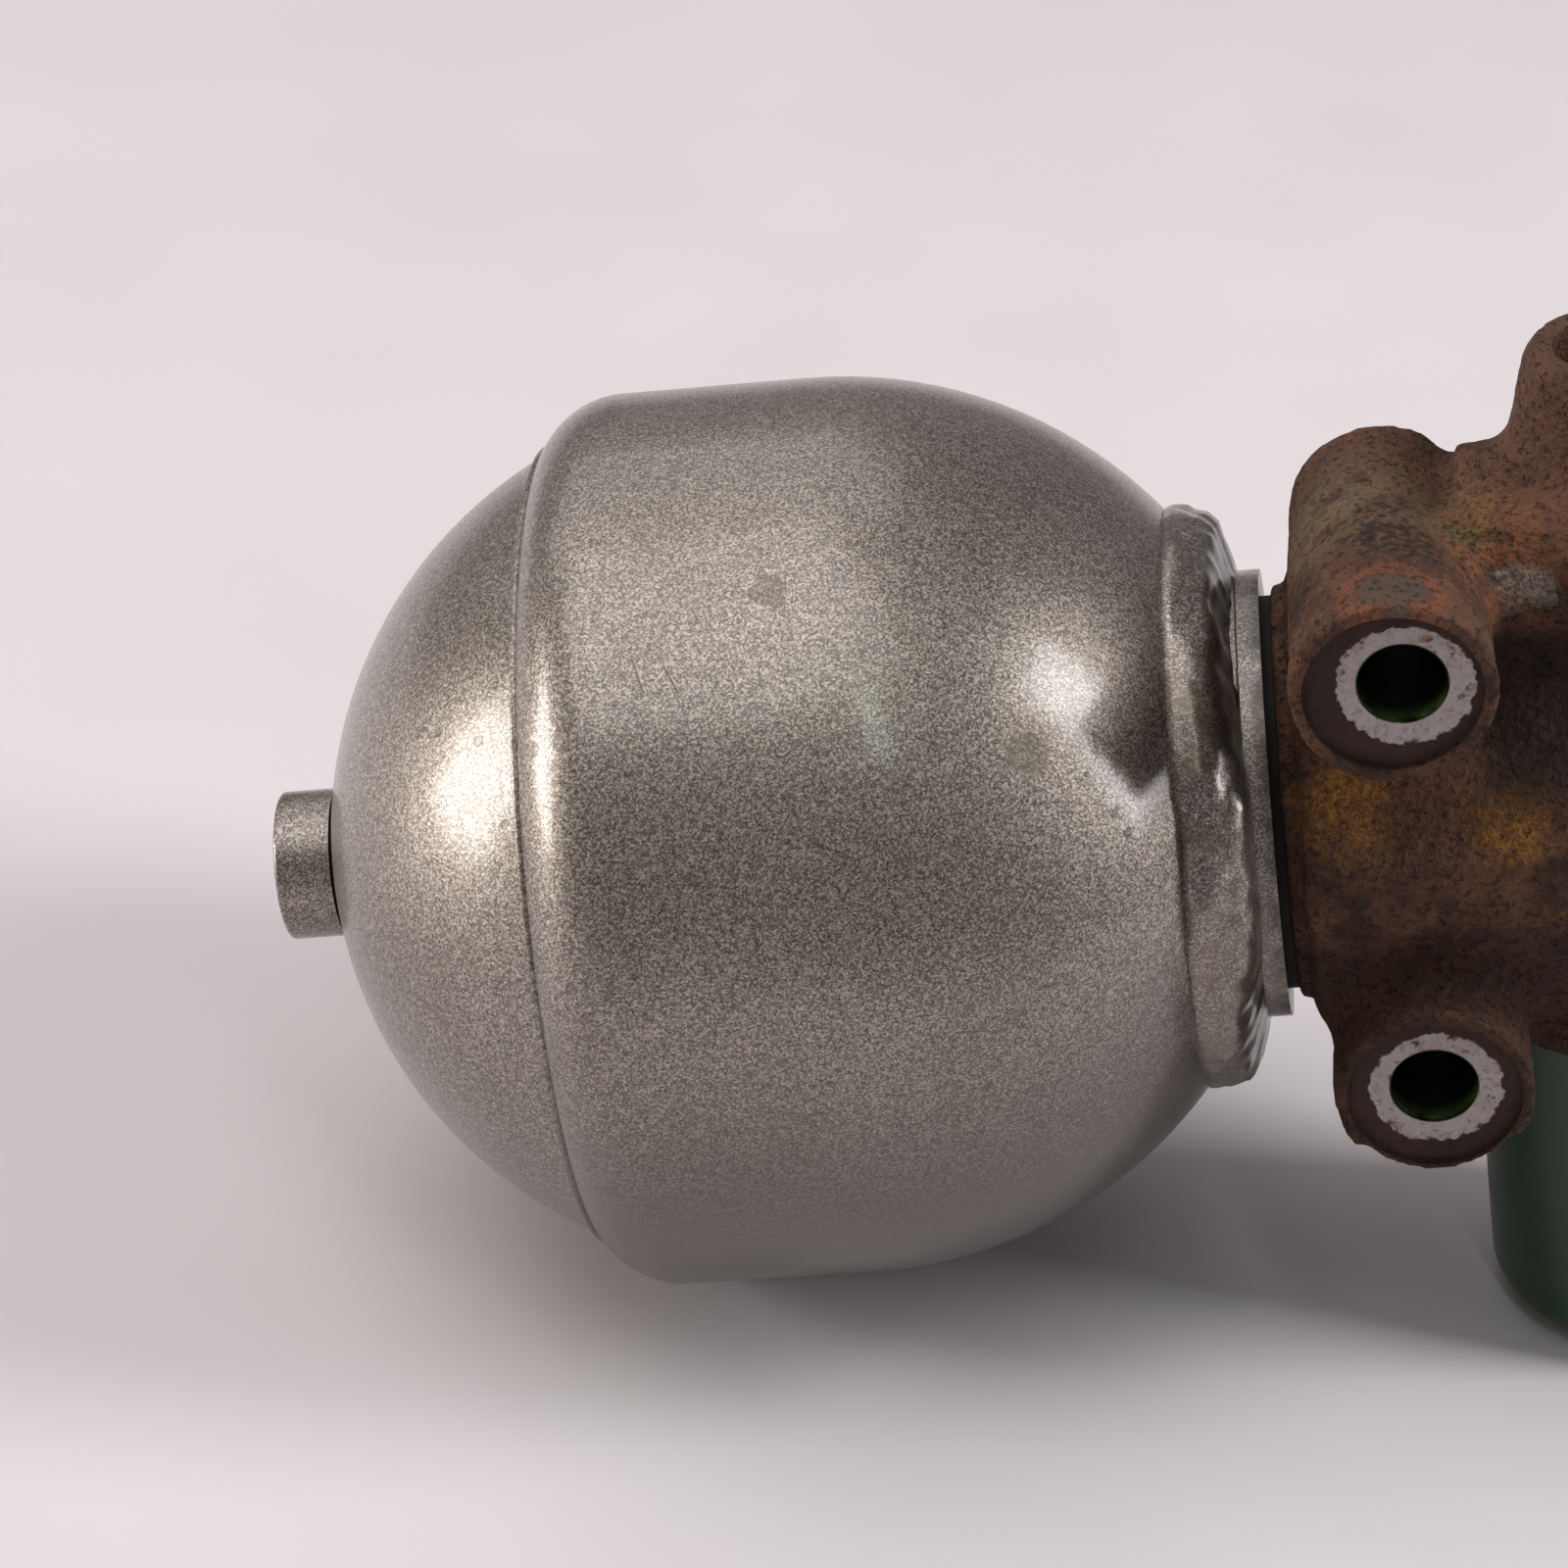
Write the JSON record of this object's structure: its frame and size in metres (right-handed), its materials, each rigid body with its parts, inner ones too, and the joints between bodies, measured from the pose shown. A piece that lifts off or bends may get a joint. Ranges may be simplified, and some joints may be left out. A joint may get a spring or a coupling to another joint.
{
  "type": "suspension accumulator",
  "caption": "Round gas-charged hydraulic suspension accumulator screwed into an iron valve block with bolt bosses, an inlet turret and a shut-off valve in a can.",
  "frame": {"origin": "middle of the two bolt holes, on the plane of the block's mounting faces", "axes": "+X along the accumulator from its gas end to the block, +Y out of the mounting faces, +Z along the line of the two bolts"},
  "size_m": [0.1991, 0.116, 0.142],
  "materials": {
    "silver_paint": "metallic paint, worn",
    "silver_paint_gas": "metallic paint, worn",
    "weld_paint": "metallic paint over a rough weld",
    "neck_paint": "metallic paint, dirty",
    "plain_steel": "machined",
    "spring_steel": "oiled",
    "seal_rubber": "matte",
    "membrane_rubber": "matte",
    "rusty_iron": "rusted casting",
    "green_paint": "dark green paint"
  },
  "bodies": {
    "housing": {"fluid_shell": "silver_paint", "gas_shell": "silver_paint_gas", "filler_boss": "silver_paint_gas", "filler_plug": "plain_steel", "filler_seal": "seal_rubber", "diaphragm_ring": "plain_steel", "diaphragm": "membrane_rubber", "neck_adapter": "neck_paint", "neck_weld": "weld_paint", "neck_seal": "seal_rubber", "damper_body": "plain_steel", "rebound_reed": "spring_steel", "compression_reed": "spring_steel", "damper_rivet": "plain_steel", "damper_circlip": "spring_steel", "valve_block": "rusty_iron", "seat_ring": "plain_steel", "piston_spring": "spring_steel", "spring_seat": "plain_steel", "valve_canister": "green_paint", "canister_seal": "seal_rubber"},
    "button": {"diaphragm_button": "plain_steel"},
    "piston": {"shutoff_piston": "plain_steel", "piston_seal": "seal_rubber"}
  },
  "joints": [
    {"name": "diaphragm_stroke", "type": "slide", "parent": "housing", "child": "button", "axis": [-1, 0, 0], "range_m": [0, 0.06], "stiffness_N_per_m": 150, "deforming": ["diaphragm"]},
    {"name": "shutoff_stroke", "type": "slide", "parent": "housing", "child": "piston", "axis": [0, 0, -1], "range_m": [0, 0.008], "stiffness_N_per_m": 2000, "springref_m": -0.004, "deforming": ["piston_spring"]}
  ]
}
